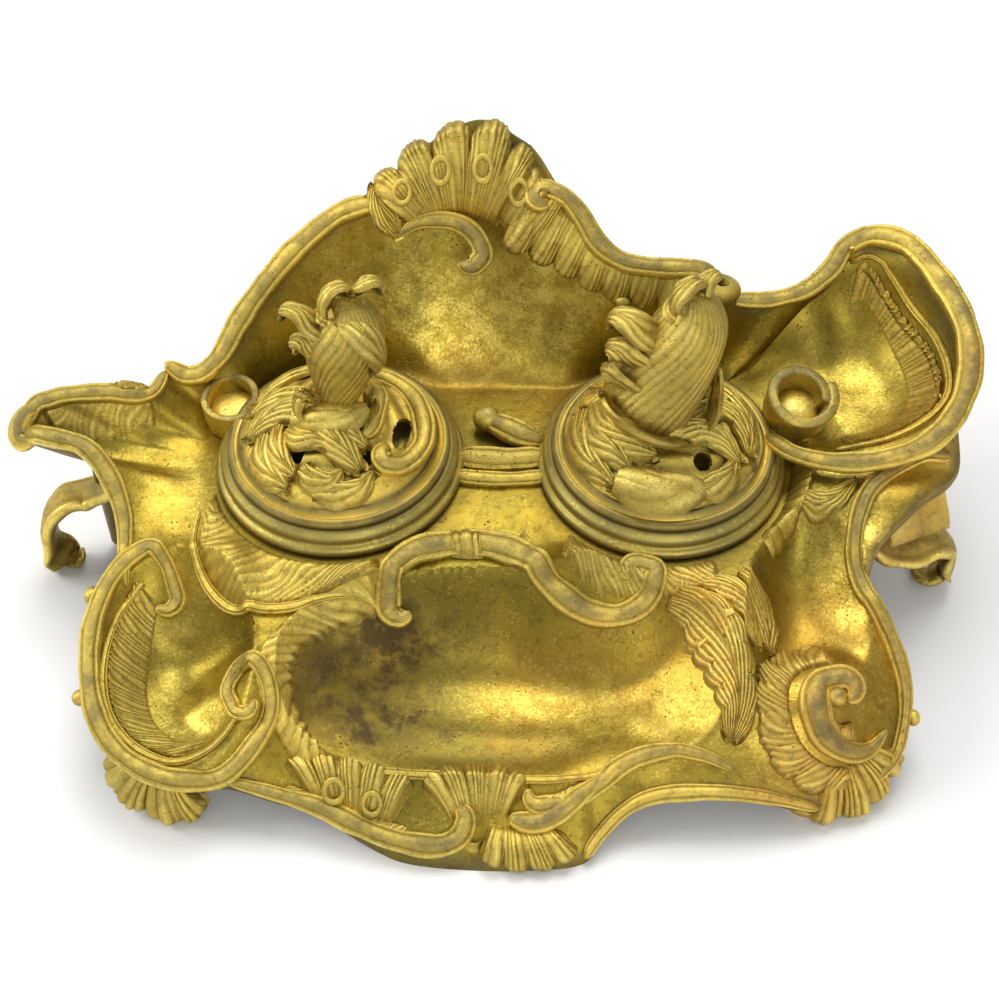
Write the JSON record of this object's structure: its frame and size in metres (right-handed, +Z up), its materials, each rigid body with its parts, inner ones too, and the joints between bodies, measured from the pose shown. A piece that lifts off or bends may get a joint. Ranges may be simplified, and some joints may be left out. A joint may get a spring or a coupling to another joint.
{
  "type": "double inkstand",
  "caption": "Rococo gilt brass inkstand: scrolled tray with pen dish, shell dish and high back wall, ink wells with lift-out pots and pierced lift-off lids.",
  "frame": {"origin": "middle of the object's box, on the surface that it stands on", "axes": "+X towards the right-hand shell dish, +Y towards the high back wall, +Z up"},
  "size_m": [0.2899, 0.1938, 0.116],
  "materials": {
    "gilt_casting": "cast and fire-gilt, burnished in the dishes and matt on the ornament, worn on the edges",
    "turned_gilt": "turned and gilt, worn to a dull olive brass",
    "chased_gilt": "cast and chased, matt gilt with bright high spots",
    "plain_brass": "turned brass, left bare",
    "glazed_pot": "white glazed earthenware"
  },
  "bodies": {
    "stand": {"tray": "gilt_casting", "left_collar": "turned_gilt", "left_collar_nut": "plain_brass", "right_collar": "turned_gilt", "right_collar_nut": "plain_brass"},
    "left_pot": {"left_ink_pot": "glazed_pot"},
    "left_lid": {"left_lid_plate": "turned_gilt", "left_lid_openwork": "chased_gilt", "left_knop": "chased_gilt", "left_knop_stud": "plain_brass", "left_knop_washer": "plain_brass", "left_knop_nut": "plain_brass"},
    "right_pot": {"right_ink_pot": "glazed_pot"},
    "right_lid": {"right_lid_plate": "turned_gilt", "right_lid_openwork": "chased_gilt", "right_knop": "chased_gilt", "right_knop_stud": "plain_brass", "right_knop_washer": "plain_brass", "right_knop_nut": "plain_brass"}
  },
  "joints": [
    {"name": "left_pot_lift", "type": "slide", "parent": "stand", "child": "left_pot", "axis": [0, 0, 1], "range_m": [0, 0.06]},
    {"name": "left_lid_lift", "type": "slide", "parent": "left_pot", "child": "left_lid", "axis": [0, 0, 1], "range_m": [0, 0.06]},
    {"name": "right_pot_lift", "type": "slide", "parent": "stand", "child": "right_pot", "axis": [0, 0, 1], "range_m": [0, 0.06]},
    {"name": "right_lid_lift", "type": "slide", "parent": "right_pot", "child": "right_lid", "axis": [0, 0, 1], "range_m": [0, 0.06]}
  ]
}
